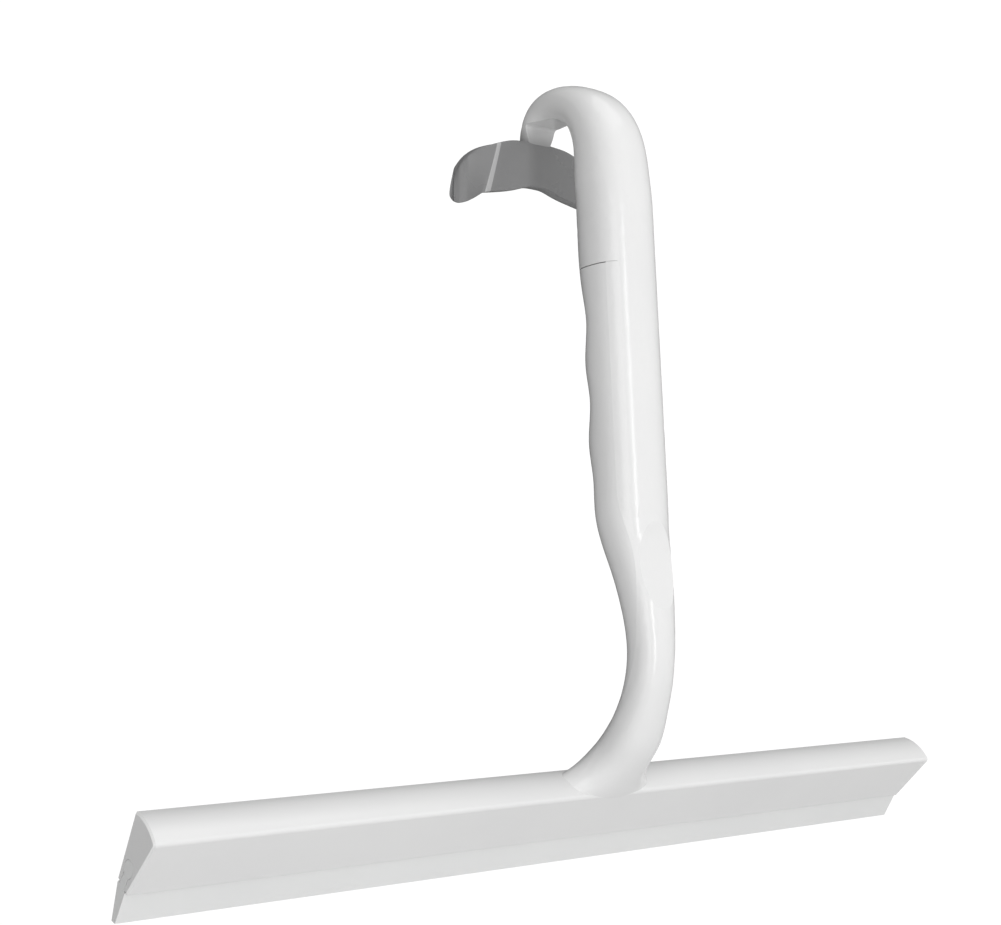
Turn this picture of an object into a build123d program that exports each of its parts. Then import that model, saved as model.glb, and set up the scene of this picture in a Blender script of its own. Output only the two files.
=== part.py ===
from build123d import *
from math import atan2, copysign, cos, radians, sin
import os

# Window cleaning squeegee that hangs on the top edge of a shower screen.
# X runs along the blade, +Y points from the handle to the glass, +Z is up.
# The origin is the middle of the seat under the hook, where the glass edge rests.
# All sizes are millimetres.

# Overall sizes and the handle's section
blade_length = 250.0
glass_thickness = 6.0
wall = 2.2                   # moulded wall of the two handle shells
roundness = 2.4              # superellipse exponent of the handle's section
outline_points = 16
grip_radius = 9.0

# Centre line of the handle, from the head up and over to the rear leg of the hook
# (y, z, depth to the front, depth to the glass side, half width)
base = [
    (-22.2, -170.2, 4.2, 4.2, 19.5),
    (-24.1, -168.0, 5.1, 5.1, 14.6),
    (-25.7, -166.1, 5.4, 5.4, 11.2),
    (-27.7, -163.8, 5.6, 5.6, 9.0),
    (-30.3, -160.8, 5.7, 5.7, 7.6),
]
neck = [
    (-34.1, -156.0, 5.8, 5.7, 6.9),
    (-37.2, -149.5, 5.4, 5.4, 6.0),
    (-39.1, -143.0, 5.3, 5.3, 5.6),
    (-39.8, -136.0, 5.4, 5.3, 5.5),
    (-39.3, -129.0, 5.6, 5.5, 5.9),
    (-38.0, -122.0, 6.1, 5.9, 6.6),
    (-36.2, -115.5, 6.8, 6.3, 7.4),
    (-34.2, -109.5, 7.6, 6.8, 8.2),
]
hook = [
    (-24.4, -17.5, 8.8, 8.6, 8.9),
    (-22.8, -9.0, 8.0, 7.8, 8.6),
    (-18.8, -2.0, 6.6, 6.6, 8.1),
    (-12.5, 2.3, 5.1, 5.3, 7.4),
    (-5.5, 3.8, 4.3, 4.8, 6.6),
    (0.6, 2.6, 3.6, 4.4, 5.7),
    (4.6, -1.5, 2.9, 3.9, 4.8),
    (5.9, -6.6, 2.1, 2.6, 4.0),
    (6.0, -12.5, 1.0, 1.0, 3.4),
]

# The grip itself is straight and leans a little: y of its axis at one height, and slope
axis_y = -26.7
axis_z = -39.6
axis_slope = 0.084

# Finger waves: height, and depth to the glass side, of each hollow and crest
finger_waves = [
    (-102.5, 6.5),
    (-94.0, 6.7),
    (-84.5, 8.1),
    (-75.0, 6.5),
    (-65.0, 8.0),
    (-55.0, 6.5),
    (-48.0, 7.7),
    (-41.0, 8.8),
]
plain_heights = [-34.0, -26.0]

# Thumb dimple in the front of the handle
thumb_z = -108.4
thumb_y = -40.85
thumb_radius = 40.0

# Opening of the hook over the glass edge
slot_half = glass_thickness / 2 + 0.3
seat_front = -4.0
seat_run_out = 12.0
slot_front = -15.0
slot_foot = -40.0
slot_corner = 1.0

# Rear wing of the hook: (x, y, z, half thickness, half height)
wing = [
    (0.0, 5.7, -10.2, 2.4, 6.0),
    (6.0, 5.5, -11.0, 2.4, 6.8),
    (12.0, 5.4, -12.1, 2.4, 7.0),
    (16.5, 6.2, -13.3, 2.3, 6.9),
    (19.5, 7.9, -14.8, 2.2, 6.8),
    (21.7, 10.0, -16.8, 1.9, 5.7),
    (22.8, 11.4, -18.0, 1.1, 3.4),
]
wing_core_stations = 5
pad_skin = 1.0

# Head: a wedge-shaped bar, drawn in its own plane with +y up the wedge
head_lean = 35.8
mouth_y = -14.7
mouth_z = -181.0
mouth_half = 2.5
crown_half = 5.1
back_height = 15.8
front_height = 16.1
crown_height = 17.1
head_end_wall = 3.0
front_edge_radius = 1.0
end_edge_chamfer = 0.4

# Channel for the bead of the blade, and the blade
channel_half = 1.25
channel_radius = 2.0
channel_height = 4.8
fit_gap = 0.08
lip_front = 1.8
lip_back = 1.9
tip_front = (-2.6, -7.9)
tip_back = (-1.0, -8.5)

# Hollow of the head, its cross ribs, and the strip that closes it
hollow_floor = 8.2
hollow_roof = 14.2
hollow_wall = 1.6
rib_thickness = 1.4
rib_count = 8
strip_thickness = 1.5
strip_floor = 7.0
strip_roof = 14.9
strip_end = 2.0

# Grip cover: seam at its top, edge curve at its foot, and the tongue that hooks it in
seam_z = -41.3
seam_gap = 0.25
parting_offset = -4.5        # the shells meet this far in front of the grip's axis
parting_foot_z = -95.0
cover_edge = [(-40.0, -112.0), (-40.8, -128.0), (-38.0, -142.0)]
cover_foot = (-32.0, -150.5)
cover_reach = 30.0
tongue_width = 4.4
tongue_thickness = 1.4
tongue_offset = 5.5
tongue_foot = -54.0
tongue_length = 18.0

# The seam's line goes on round the front shell as a shallow groove
groove_x = 7.75
groove_y = -5.85
groove_length = 3.2
groove_depth = 1.0
groove_turn = 54.6

# Rails and cross ribs inside the front shell, which centre the cover
rail_offset = 4.7
rail_thickness = 1.4
rail_front = -6.9
rail_back = -2.6
rail_foot = -98.0
rail_length = 54.0
cross_rib_back = -3.4
cross_rib_pitch = 13.0
cross_rib_count = 5


def bend(value):
    return copysign(abs(value) ** (2 / roundness), value)


def ring(half_width, front, inner):
    points = []
    for k in range(outline_points):
        turn = radians(360.0 * k / outline_points)
        depth = inner if sin(turn) > 0 else front
        points.append((half_width * bend(cos(turn)), depth * bend(sin(turn))))
    return points


def station_planes(stations):
    planes = []
    for k in range(len(stations)):
        before = stations[max(k - 1, 0)]
        after = stations[min(k + 1, len(stations) - 1)]
        lean = atan2(after[0] - before[0], after[1] - before[1])
        origin = (0, stations[k][0], stations[k][1])
        planes.append(Plane(origin=origin, x_dir=(1, 0, 0), z_dir=(0, sin(lean), cos(lean))))
    return planes


def skin_loft(stations, planes, inset):
    with BuildPart() as solid:
        for station, plane in zip(stations, planes):
            y, z, front, inner, half_width = station
            with BuildSketch(plane):
                with BuildLine():
                    Spline(*ring(half_width - inset, front - inset, inner - inset), periodic=True)
                make_face()
        loft()
    return solid.part


def axis_at(z):
    return axis_y + axis_slope * (z - axis_z)


def axis_plane(z):
    # square to the grip's axis, with +y towards the glass
    lean = atan2(axis_slope, 1)
    return Plane(origin=(0, axis_at(z), z), x_dir=(1, 0, 0), z_dir=(0, sin(lean), cos(lean)))


def parting_point(z):
    return (axis_at(z) + parting_offset, z)


def cover_block(gap):
    # the room the cover fills, drawn in the YZ plane; gap opens the seam at its top
    back_y = axis_at(seam_z) + cover_reach
    with BuildPart() as block:
        with BuildSketch(Plane.YZ.offset(-cover_reach)):
            with BuildLine():
                Spline(
                    parting_point(parting_foot_z),
                    *cover_edge,
                    cover_foot,
                    tangents=((-axis_slope, -1), (0.7, -0.5)),
                )
                Polyline(
                    cover_foot,
                    (cover_foot[0] + cover_reach, cover_foot[1] + 8),
                    (back_y, seam_z + gap - axis_slope * cover_reach),
                    parting_point(seam_z + gap),
                    parting_point(parting_foot_z),
                )
            make_face()
        extrude(amount=2 * cover_reach)
    return block.part


def head_plane(x):
    lean = radians(head_lean)
    return Plane(origin=(x, mouth_y, mouth_z), x_dir=(0, cos(lean), sin(lean)), z_dir=(1, 0, 0))


def flank(height):
    return mouth_half + (crown_half - mouth_half) * height / back_height


def head_profile():
    with BuildSketch() as profile:
        with BuildLine():
            Polyline(
                (-crown_half, front_height),
                (-mouth_half, 0),
                (mouth_half, 0),
                (crown_half, back_height),
            )
            ThreePointArc((crown_half, back_height), (0, crown_height), (-crown_half, front_height))
        make_face()
        fillet(profile.vertices().sort_by(Axis.X)[0], front_edge_radius)
    return profile.sketch


def hook_opening():
    corner = (slot_half - slot_corner, 0)
    drop = seat_run_out - (seat_run_out**2 - (seat_front - slot_front) ** 2) ** 0.5
    with BuildPart() as block:
        with BuildSketch(Plane.YZ.offset(-cover_reach)):
            with BuildLine():
                Line((slot_half, slot_foot), (slot_half, -slot_corner))
                TangentArc((slot_half, -slot_corner), corner, tangent=(0, 1))
                Line(corner, (seat_front, 0))
                TangentArc((seat_front, 0), (slot_front, -drop), tangent=(-1, 0))
                Polyline((slot_front, -drop), (slot_front, slot_foot), (slot_half, slot_foot))
            make_face()
        extrude(amount=2 * cover_reach)
    return block.part


def wing_solid(inset, count):
    side = wing[:count]
    sections = [(-x, y, z, thick, high) for x, y, z, thick, high in reversed(side[1:])] + side
    with BuildPart() as solid:
        for x, y, z, half_thick, half_high in sections:
            with BuildSketch(Plane(origin=(x, y, z), x_dir=(0, 1, 0), z_dir=(1, 0, 0))):
                Ellipse(half_thick - inset, half_high - inset)
        loft()
    return solid.part


grip = [(axis_at(z), z, grip_radius, depth, grip_radius) for z, depth in finger_waves]
plain = [(axis_at(z), z, grip_radius, grip_radius, grip_radius) for z in plain_heights]
stations = base + neck + grip + plain + hook
planes = station_planes(stations)
hollow = slice(len(base), len(stations) - len(hook))

envelope = skin_loft(stations, planes, 0)
cavity = skin_loft(stations[hollow], planes[hollow], wall)

# Grip cover: the waved shell half towards the glass, with a tongue under the seam
with BuildPart() as grip_cover:
    add(envelope)
    add(cover_block(0), mode=Mode.INTERSECT)
    add(cavity, mode=Mode.SUBTRACT)
    with BuildSketch(axis_plane(tongue_foot)):
        with Locations((0, tongue_offset)):
            Rectangle(tongue_width, tongue_thickness)
    extrude(amount=tongue_length)

# Wiper blade: lip, neck and bead in one silicone strip
with BuildPart() as wiper_blade:
    with BuildSketch(head_plane(-blade_length / 2)):
        with BuildLine():
            Polyline((-lip_front, -fit_gap), tip_front, tip_back, (lip_back, -fit_gap), close=True)
        make_face()
        with Locations((0, channel_height / 2 - fit_gap / 2)):
            Rectangle(2 * (channel_half - fit_gap), channel_height + fit_gap)
        with Locations((0, channel_height)):
            Circle(channel_radius - fit_gap)
    extrude(amount=blade_length)

# Strip that closes the hollow of the head, flush with its flat back
with BuildPart() as head_strip:
    with BuildSketch(head_plane(-blade_length / 2 + strip_end)):
        with BuildLine():
            Polyline(
                (flank(strip_floor), strip_floor),
                (flank(strip_roof), strip_roof),
                (flank(strip_roof) - strip_thickness, strip_roof),
                (flank(strip_floor) - strip_thickness, strip_floor),
                close=True,
            )
        make_face()
    extrude(amount=blade_length - 2 * strip_end)

# The head bar before it joins the handle, with its end edges eased
with BuildPart() as head_bar:
    with BuildSketch(head_plane(-blade_length / 2)):
        add(head_profile())
    extrude(amount=blade_length)
    chamfer(head_bar.edges().filter_by(Axis.X, reverse=True), end_edge_chamfer)

# Main body: head bar, front shell of the handle, hook and the core of the rear wing
rib_pitch = (blade_length - 2 * head_end_wall) / (rib_count + 1)
first_pocket = -blade_length / 2 + head_end_wall + rib_thickness / 2
rail_middle = (rail_front + rail_back) / 2
with BuildPart() as main_body:
    add(envelope)
    add(head_bar.part)
    add(hook_opening(), mode=Mode.SUBTRACT)
    add(wing_solid(pad_skin, wing_core_stations))
    add(cavity, mode=Mode.SUBTRACT)
    add(cover_block(seam_gap), mode=Mode.SUBTRACT)
    # rails and cross ribs
    with BuildSketch(axis_plane(rail_foot)):
        with Locations((-rail_offset, rail_middle), (rail_offset, rail_middle)):
            Rectangle(rail_thickness, rail_back - rail_front)
    extrude(amount=rail_length)
    for k in range(cross_rib_count):
        with BuildSketch(axis_plane(rail_foot + k * cross_rib_pitch)):
            with Locations((0, (rail_front + cross_rib_back) / 2)):
                Rectangle(2 * rail_offset, cross_rib_back - rail_front)
        extrude(amount=rib_thickness)
    # seam groove on both flanks of the front shell
    with BuildSketch(axis_plane(seam_z + axis_slope * parting_offset)):
        with Locations((groove_x, groove_y)):
            Rectangle(groove_length, groove_depth, rotation=groove_turn)
        with Locations((-groove_x, groove_y)):
            Rectangle(groove_length, groove_depth, rotation=-groove_turn)
    extrude(amount=seam_gap, mode=Mode.SUBTRACT)
    # thumb dimple, a shallow dish across the front of the handle
    with Locations(Location((0, thumb_y - thumb_radius, thumb_z), (0, 90, 0))):
        Cylinder(thumb_radius, 2 * cover_reach, mode=Mode.SUBTRACT)
    # channel for the bead of the blade
    with BuildSketch(head_plane(-blade_length / 2)):
        with Locations((0, channel_height / 2)):
            Rectangle(2 * channel_half, channel_height)
        with Locations((0, channel_height)):
            Circle(channel_radius)
    extrude(amount=blade_length, mode=Mode.SUBTRACT)
    # hollow of the head, open to the back, with cross ribs left standing
    for k in range(rib_count + 1):
        with BuildSketch(head_plane(first_pocket + k * rib_pitch)):
            with BuildLine():
                Polyline(
                    (hollow_wall - flank(hollow_floor), hollow_floor),
                    (hollow_wall - flank(hollow_roof), hollow_roof),
                    (flank(hollow_roof), hollow_roof),
                    (flank(hollow_floor), hollow_floor),
                    close=True,
                )
            make_face()
        extrude(amount=rib_pitch - rib_thickness, mode=Mode.SUBTRACT)
    add(head_strip.part, mode=Mode.SUBTRACT)

# Soft pad moulded over the core of the rear wing
with BuildPart() as hook_pad:
    add(wing_solid(0, len(wing)))
    add(main_body.part, mode=Mode.SUBTRACT)

os.makedirs("parts", exist_ok=True)
pieces = {
    "main_body": main_body,
    "grip_cover": grip_cover,
    "wiper_blade": wiper_blade,
    "head_strip": head_strip,
    "hook_pad": hook_pad,
}
for name, piece in pieces.items():
    piece.part.label = name
    export_step(piece.part, f"parts/{name}.step")
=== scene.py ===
import bpy
import math
from mathutils import Matrix, Vector


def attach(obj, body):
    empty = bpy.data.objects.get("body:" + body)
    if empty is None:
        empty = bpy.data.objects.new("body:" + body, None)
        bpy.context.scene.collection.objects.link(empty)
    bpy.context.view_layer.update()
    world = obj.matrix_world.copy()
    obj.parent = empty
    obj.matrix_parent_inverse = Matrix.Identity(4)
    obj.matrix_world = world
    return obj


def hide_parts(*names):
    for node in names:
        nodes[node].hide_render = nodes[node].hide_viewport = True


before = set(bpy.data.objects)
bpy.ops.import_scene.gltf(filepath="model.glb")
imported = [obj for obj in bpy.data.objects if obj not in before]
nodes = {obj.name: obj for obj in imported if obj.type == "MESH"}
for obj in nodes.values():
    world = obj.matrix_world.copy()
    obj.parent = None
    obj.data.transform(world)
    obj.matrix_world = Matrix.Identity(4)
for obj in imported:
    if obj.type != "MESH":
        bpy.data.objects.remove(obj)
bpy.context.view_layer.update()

# The room: a pale floor well below the hanging tool, and an even white wall of light in front
# that fades towards the back, so that the glass side of the handle falls into shade. The camera
# sees plain white in place of the fade.
white = (1, 1, 1, 1)
floor_size = 2.4
floor_drop = 0.62
floor_paint = (0.9, 0.9, 0.9, 1)
floor_roughness = 0.9
backdrop_strength = 1.05
fade_ends = (-1.0, 0.9)
fade_strengths = (0.93, 0.04)

bpy.context.scene.view_settings.view_transform = "Standard"
bpy.ops.object.select_all(action="DESELECT")
bpy.ops.mesh.primitive_plane_add(size=floor_size, location=(0, 0, -floor_drop))
floor = bpy.context.object
floor.name = "floor"
paint = bpy.data.materials.new("pale_floor")
paint.use_nodes = True
shader = paint.node_tree.nodes["Principled BSDF"]
shader.inputs["Base Color"].default_value = floor_paint
shader.inputs["Roughness"].default_value = floor_roughness
floor.data.materials.append(paint)

world = bpy.data.worlds.new("white_room")
bpy.context.scene.world = world
world.use_nodes = True
room = world.node_tree
room.nodes.clear()
backdrop = room.nodes.new("ShaderNodeBackground")
backdrop.inputs["Strength"].default_value = backdrop_strength
backdrop.inputs["Color"].default_value = white
glow = room.nodes.new("ShaderNodeBackground")
glow.inputs["Color"].default_value = white
heading = room.nodes.new("ShaderNodeTexCoord")
split = room.nodes.new("ShaderNodeSeparateXYZ")
fade = room.nodes.new("ShaderNodeMapRange")
fade.inputs["From Min"].default_value = fade_ends[0]
fade.inputs["From Max"].default_value = fade_ends[1]
fade.inputs["To Min"].default_value = fade_strengths[0]
fade.inputs["To Max"].default_value = fade_strengths[1]
ray = room.nodes.new("ShaderNodeLightPath")
choose = room.nodes.new("ShaderNodeMixShader")
surface = room.nodes.new("ShaderNodeOutputWorld")
room.links.new(heading.outputs["Generated"], split.inputs["Vector"])
room.links.new(split.outputs["Y"], fade.inputs["Value"])
room.links.new(fade.outputs["Result"], glow.inputs["Strength"])
room.links.new(ray.outputs["Is Camera Ray"], choose.inputs["Fac"])
room.links.new(glow.outputs["Background"], choose.inputs[1])
room.links.new(backdrop.outputs["Background"], choose.inputs[2])
room.links.new(choose.outputs["Shader"], surface.inputs["Surface"])

# Four soft boxes, all aimed at the middle of the handle. The tall narrow one in front draws
# the long highlight down the handle.
handle_middle = (0, -0.03, -0.1)
soft_boxes = [
    # name, place, width, height, watts
    ("top_box", (0.15, -0.35, 1.25), 1.2, 1.0, 3.6),
    ("front_strip", (-0.30, -1.25, -0.05), 0.20, 0.9, 3.2),
    ("right_box", (1.25, -0.95, 0.1), 0.8, 1.2, 0.5),
    ("left_box", (-0.95, -0.85, 0.0), 0.6, 0.9, 2.2),
]
for name, place, width, height, watts in soft_boxes:
    lamp = bpy.data.lights.new(name, "AREA")
    lamp.shape = "RECTANGLE"
    lamp.size = width
    lamp.size_y = height
    lamp.energy = watts
    stand = bpy.data.objects.new(name, lamp)
    bpy.context.scene.collection.objects.link(stand)
    stand.location = place
    towards = Vector(handle_middle) - Vector(place)
    stand.rotation_euler = towards.to_track_quat("-Z", "Y").to_euler()

# The camera stands in front of the tool and to its left, a little below the handle's middle,
# and looks slightly up.
sensor_width = 36
lens = 60.506
nearest = 0.01
camera_place = (-0.285842, -0.330025, -0.112144)
camera_swing = math.radians(-39.397)
camera_tilt = math.radians(90 + 3.047)
camera_roll = math.radians(0.729)
camera_data = bpy.data.cameras.new("camera")
camera = bpy.data.objects.new("camera", camera_data)
bpy.context.scene.collection.objects.link(camera)
camera_data.sensor_width = sensor_width
camera_data.lens = lens
camera_data.clip_start = nearest
camera.location = camera_place
swing = Matrix.Rotation(camera_swing, 4, "Z")
tilt = Matrix.Rotation(camera_tilt, 4, "X")
roll = Matrix.Rotation(camera_roll, 4, "Z")
camera.rotation_euler = (swing @ tilt @ roll).to_euler()
bpy.context.scene.camera = camera

# Main body, grip cover and head strip: white ABS, injection moulded in polished tools.
# The cover is snapped into the body, and the strip is welded over the cored head. The white
# The rear leg gets painted shade: its white is darkened to grey as it runs down into the pad.
abs_dark = (0.775, 0.775, 0.775)
abs_light = (0.80, 0.80, 0.797)
abs_gloss = (0.17, 0.25)
abs_grain = 500
abs_grain_depth = 0.00001
# painted shade on the rear leg: the grey it fades to, and the heights and depths over which it
# fades
leg_painted_shade = (0.24, 0.24, 0.242, 1)
leg_shade_z = (0.0015, -0.0065)
leg_shade_y = (0.0005, 0.0040)
cloud_spread = (0.3, 0.7)
cloud_scale = 24
gloss_scale = 60


def cloudy(tree, spot, scale, low, high, detail):
    """A slow noise that runs between two colours, or between two numbers when low is a float."""
    noise = tree.nodes.new("ShaderNodeTexNoise")
    noise.inputs["Scale"].default_value = scale
    noise.inputs["Detail"].default_value = detail
    tree.links.new(spot.outputs["Object"], noise.inputs["Vector"])
    if isinstance(low, float):
        spread = tree.nodes.new("ShaderNodeMapRange")
        spread.inputs["From Min"].default_value = cloud_spread[0]
        spread.inputs["From Max"].default_value = cloud_spread[1]
        spread.inputs["To Min"].default_value = low
        spread.inputs["To Max"].default_value = high
        tree.links.new(noise.outputs["Fac"], spread.inputs["Value"])
        return spread.outputs["Result"]
    ramp = tree.nodes.new("ShaderNodeValToRGB")
    for stop, position, colour in zip(ramp.color_ramp.elements, cloud_spread, (low, high)):
        stop.position = position
        stop.color = (*colour, 1)
    tree.links.new(noise.outputs["Fac"], ramp.inputs["Fac"])
    return ramp.outputs["Color"]


def moulding(name, dark, light, gloss, grain, depth):
    """A moulded polymer: faint clouding of its colour and gloss, and a fine skin texture."""
    polymer = bpy.data.materials.new(name)
    polymer.use_nodes = True
    tree = polymer.node_tree
    shader = tree.nodes["Principled BSDF"]
    spot = tree.nodes.new("ShaderNodeTexCoord")
    colour = cloudy(tree, spot, cloud_scale, dark, light, 3)
    roughness = cloudy(tree, spot, gloss_scale, *gloss, 4)
    tree.links.new(colour, shader.inputs["Base Color"])
    tree.links.new(roughness, shader.inputs["Roughness"])
    skin = tree.nodes.new("ShaderNodeTexNoise")
    skin.inputs["Scale"].default_value = grain
    skin.inputs["Detail"].default_value = 2
    bump = tree.nodes.new("ShaderNodeBump")
    bump.inputs["Strength"].default_value = 0.5
    bump.inputs["Distance"].default_value = depth
    tree.links.new(spot.outputs["Object"], skin.inputs["Vector"])
    tree.links.new(skin.outputs["Fac"], bump.inputs["Height"])
    tree.links.new(bump.outputs["Normal"], shader.inputs["Normal"])
    return polymer


def paint_shade_at_leg(polymer):
    """Paints shade on the rear leg: fades the colour to grey by how low and how far back a point
    is.
    """
    tree = polymer.node_tree
    shader = tree.nodes["Principled BSDF"]
    plain = shader.inputs["Base Color"].links[0].from_socket
    spot = tree.nodes.new("ShaderNodeTexCoord")
    axes = tree.nodes.new("ShaderNodeSeparateXYZ")
    down = tree.nodes.new("ShaderNodeMapRange")
    behind = tree.nodes.new("ShaderNodeMapRange")
    for span, ends in ((down, leg_shade_z), (behind, leg_shade_y)):
        span.interpolation_type = "SMOOTHSTEP"
        span.inputs["From Min"].default_value = ends[0]
        span.inputs["From Max"].default_value = ends[1]
    both = tree.nodes.new("ShaderNodeMath")
    both.operation = "MULTIPLY"
    shaded_colour = tree.nodes.new("ShaderNodeMix")
    shaded_colour.data_type = "RGBA"
    shaded_colour.inputs["B"].default_value = leg_painted_shade
    tree.links.new(spot.outputs["Object"], axes.inputs["Vector"])
    tree.links.new(axes.outputs["Z"], down.inputs["Value"])
    tree.links.new(axes.outputs["Y"], behind.inputs["Value"])
    tree.links.new(down.outputs["Result"], both.inputs[0])
    tree.links.new(behind.outputs["Result"], both.inputs[1])
    tree.links.new(both.outputs["Value"], shaded_colour.inputs["Factor"])
    tree.links.new(plain, shaded_colour.inputs["A"])
    tree.links.new(shaded_colour.outputs["Result"], shader.inputs["Base Color"])


white_abs = moulding("white_abs", abs_dark, abs_light, abs_gloss, abs_grain, abs_grain_depth)
# painted shade: the rear leg darkens to grey towards the pad
paint_shade_at_leg(white_abs)
for name in ("main_body", "grip_cover", "head_strip"):
    nodes[name].data.materials.clear()
    nodes[name].data.materials.append(white_abs)

# Wiper blade: one extruded strip of white silicone with a lip, a neck and a bead. The bead
# slides endwise into the channel along the foot of the head. It is shaped upright, with the
# mouth of the channel at the origin, and then laid at the head's place and lean.
blade_length = 0.250
bead_radius = 0.00192
bead_height = 0.0048
bead_sides = 24
bead_foot_facing = -0.85
neck_start = 0.0030
neck_widening = 1.2
neck_half = 0.00115
shoulder = -0.0001
lip_middle = 0.00005
lip_half = 0.00185
lip_step = 0.0004
lip_length = 0.0081
tip_middle = -0.0018
tip_half = 0.0008
tip_slant = math.radians(20.6)
mouth = (0, -0.0147, -0.1810)
head_lean = math.radians(35.8)
blade_edge_radius = 0.00022
crease_angle = math.radians(35)
smooth_angle = math.radians(40)
silicone_dark = (0.76, 0.765, 0.762)
silicone_light = (0.79, 0.795, 0.79)
silicone_gloss = (0.32, 0.42)
silicone_grain = 900
silicone_grain_depth = 0.000012
silicone_ior = 1.41


def pick_faces(test):
    """Selects the faces of the piece in edit mode whose middle and normal pass the test."""
    bpy.ops.object.mode_set(mode="OBJECT")
    mesh = bpy.context.object.data
    for part in (mesh.vertices, mesh.edges):
        for item in part:
            item.select = False
    for face in mesh.polygons:
        face.select = test(face.center, face.normal)
    bpy.ops.object.mode_set(mode="EDIT")


def pull_out(step):
    """Extrudes the selected faces by a step."""
    bpy.ops.mesh.extrude_region_move(TRANSFORM_OT_translate={"value": step})


def finish_piece(piece, body, node):
    """Ties a modelled piece to its body and hides the solid that it stands for."""
    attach(piece, body)
    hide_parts(node)


bpy.ops.object.select_all(action="DESELECT")
bpy.ops.mesh.primitive_cylinder_add(
    vertices=bead_sides,
    radius=bead_radius,
    depth=blade_length,
    location=(0, 0, bead_height),
    rotation=(0, math.pi / 2, 0),
)
blade = bpy.context.object
blade.name = "silicone_blade"
bpy.ops.object.transform_apply(location=True, rotation=True, scale=True)
bpy.ops.object.mode_set(mode="EDIT")
bpy.ops.mesh.select_mode(type="FACE")
# the neck, drawn down from the foot of the bead and made flat at the shoulder
pick_faces(lambda middle, normal: normal.z < bead_foot_facing)
pull_out((0, 0, -neck_start))
bpy.ops.transform.resize(value=(1, neck_widening, 0), center_override=(0, 0, shoulder))
# the lip, which starts as a ledge at the shoulder and thins to a slanted tip
pull_out((0, lip_middle, 0))
ledge = (0, lip_middle, shoulder)
bpy.ops.transform.resize(value=(1, lip_half / neck_half, 1), center_override=ledge)
pull_out((0, 0, -lip_step))
pull_out((0, tip_middle - lip_middle, lip_step - lip_length))
tip = (0, tip_middle, shoulder - lip_length)
bpy.ops.transform.resize(value=(1, tip_half / lip_half, 1), center_override=tip)
bpy.ops.transform.rotate(value=tip_slant, orient_axis="X", center_override=tip)
bpy.ops.object.mode_set(mode="OBJECT")
blade.location = mouth
blade.rotation_euler = (head_lean, 0, 0)
bpy.ops.object.transform_apply(location=True, rotation=True, scale=True)
rounding = blade.modifiers.new("soft_edges", "BEVEL")
rounding.width = blade_edge_radius
rounding.segments = 3
rounding.limit_method = "ANGLE"
rounding.angle_limit = crease_angle
bpy.ops.object.modifier_apply(modifier="soft_edges")
bpy.ops.object.shade_smooth_by_angle(angle=smooth_angle)
silicone = moulding(
    "clear_silicone",
    silicone_dark,
    silicone_light,
    silicone_gloss,
    silicone_grain,
    silicone_grain_depth,
)
silicone.node_tree.nodes["Principled BSDF"].inputs["IOR"].default_value = silicone_ior
blade.data.materials.append(silicone)
finish_piece(blade, "blade", "wiper_blade")

# Hook pad: a wing of soft grey elastomer moulded over a hard core on the rear leg.
# Its flat face bears on the back of the glass, and both ends curl away so that it slides on.
# The two folds lean outwards at the foot, and each fold carries a paler band that is a painted
# highlight.
wing_root = (0.0034, 0.0056, -0.0102, 0.0024, 0.0060)
wing_side = [
    # x, y, z, half thickness, half height, and the change in the fold's lean in degrees
    (0.0062, 0.0055, -0.0109, 0.0024, 0.0064, 0),
    (0.0100, 0.0054, -0.0116, 0.0023, 0.0069, 4),
    (0.0158, 0.0053, -0.0130, 0.0022, 0.0071, 13),
    (0.0163, 0.0054, -0.0132, 0.0022, 0.0071, 0),
    (0.0170, 0.0058, -0.0135, 0.0021, 0.0071, 0),
    (0.0186, 0.0070, -0.0142, 0.0019, 0.0070, -9),
    (0.0206, 0.0092, -0.0158, 0.0016, 0.0063, -8),
    (0.0220, 0.0106, -0.0174, 0.0013, 0.0050, 0),
    (0.0228, 0.0115, -0.0190, 0.0008, 0.0029, 0),
]
hair = 0.00001
end_facing = 0.7
shortest_edge = 0.0001
top_edge_height = -0.0105
top_edge_drop = -0.0140
foot_edge_height = -0.0160
top_rim = 0.0006
foot_rim = 0.0003
foot_relief = 0.0018
middle_depth = 0.0056
curl_start = 0.0179
curl_slope = 1.05
fold = (0.0157, 0.0164)
fold_height = -0.0131
fold_slope = 0.306
fold_facing = 0.2
pad_smoothing = 3
pad_gloss = (0.22, 0.32)
pad_grain = 1400
pad_grain_depth = 0.00002


def pick_edges(test):
    """Selects the edges of the piece in edit mode whose two ends pass the test."""
    bpy.ops.object.mode_set(mode="OBJECT")
    mesh = bpy.context.object.data
    for part in (mesh.vertices, mesh.polygons):
        for item in part:
            item.select = False
    for edge in mesh.edges:
        a, b = (mesh.vertices[k].co for k in edge.vertices)
        edge.select = test(a, b)
    bpy.ops.object.mode_set(mode="EDIT")


def along_top(a, b):
    """True for a long edge of the pad's top."""
    runs_along = abs(a.x - b.x) > shortest_edge
    return runs_along and max(a.z, b.z) > top_edge_height and min(a.z, b.z) > top_edge_drop


def along_foot(a, b):
    """True for a long edge of the pad's foot."""
    return abs(a.x - b.x) > shortest_edge and (a.z + b.z) / 2 < foot_edge_height


def lies_behind(a, b):
    """True behind the pad's middle, which is flat to the fold and then runs back as it runs out."""
    out = abs(a.x + b.x) / 2
    return (a.y + b.y) / 2 > middle_depth + curl_slope * max(0, out - curl_start)


def on_fold(middle, normal):
    """True for the front faces of either fold, whose line leans outwards as it goes down."""
    across = abs(middle.x) + fold_slope * (middle.z - fold_height)
    return fold[0] < across < fold[1] and normal.y < fold_facing


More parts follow.
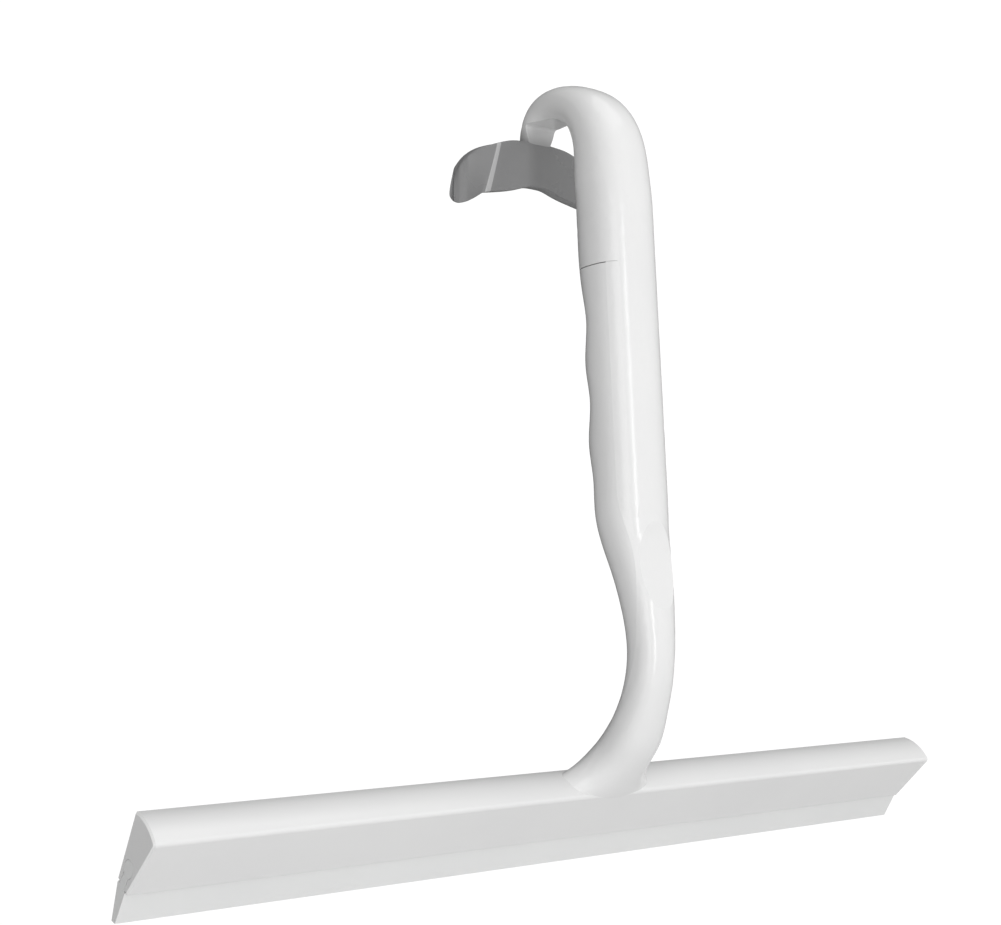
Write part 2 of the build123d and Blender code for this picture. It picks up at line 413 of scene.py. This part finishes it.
bpy.ops.object.select_all(action="DESELECT")
root_x, root_y, root_z, root_thick, root_high = wing_root
bpy.ops.mesh.primitive_cube_add(size=1, location=(root_x / 2, root_y, root_z))
pad = bpy.context.object
pad.name = "wing_pad"
pad.scale = (root_x, 2 * root_thick, 2 * root_high)
bpy.ops.object.transform_apply(location=True, rotation=True, scale=True)
bpy.ops.object.mode_set(mode="EDIT")
bpy.ops.mesh.select_mode(type="FACE")
# one half of the wing, drawn out from the root station by station
before = wing_root
for station in wing_side:
    pick_faces(lambda middle, normal: middle.x > before[0] - hair and normal.x > end_facing)
    pull_out([station[k] - before[k] for k in range(3)])
    spread = (1, station[3] / before[3], station[4] / before[4])
    place = station[:3]
    bpy.ops.transform.resize(value=spread, center_override=place)
    if station[5]:
        lean = math.radians(station[5])
        bpy.ops.transform.rotate(value=lean, orient_axis="Y", center_override=place)
    before = station
# its open root, joined to the mirrored other half
pick_faces(lambda middle, normal: abs(middle.x) < hair)
bpy.ops.mesh.delete(type="FACE")
bpy.ops.object.mode_set(mode="OBJECT")
twin = pad.modifiers.new("other_half", "MIRROR")
twin.use_clip = True
twin.merge_threshold = hair
bpy.ops.object.modifier_apply(modifier="other_half")
# eased edges, with more taken off the foot behind, and the painted highlight over each fold
for name, dark, light in (
    ("grey_tpe", (0.205, 0.206, 0.208), (0.23, 0.23, 0.232)),
    # a paler grey that is a painted highlight for the folds
    ("painted_fold_highlight", (0.40, 0.40, 0.402), (0.45, 0.45, 0.452)),
):
    pad.data.materials.append(
        moulding(name, dark, light, pad_gloss, pad_grain, pad_grain_depth)
    )
bpy.ops.object.mode_set(mode="EDIT")
bpy.ops.mesh.select_mode(type="EDGE")
pick_edges(along_top)
bpy.ops.mesh.bevel(offset=top_rim, segments=2, affect="EDGES")
pick_edges(lambda a, b: along_foot(a, b) and lies_behind(a, b))
bpy.ops.mesh.bevel(offset=foot_relief, segments=3, affect="EDGES")
pick_edges(lambda a, b: along_foot(a, b) and not lies_behind(a, b))
bpy.ops.mesh.bevel(offset=foot_rim, segments=2, affect="EDGES")
bpy.ops.mesh.select_mode(type="FACE")
# the front faces of each fold get the paler paint, a painted highlight
pick_faces(on_fold)
pad.active_material_index = 1
bpy.ops.object.material_slot_assign()
bpy.ops.object.mode_set(mode="OBJECT")
smooth = pad.modifiers.new("flow", "SUBSURF")
smooth.levels = pad_smoothing
smooth.render_levels = pad_smoothing
bpy.ops.object.modifier_apply(modifier="flow")
bpy.ops.object.shade_smooth()
finish_piece(pad, "tool", "hook_pad")
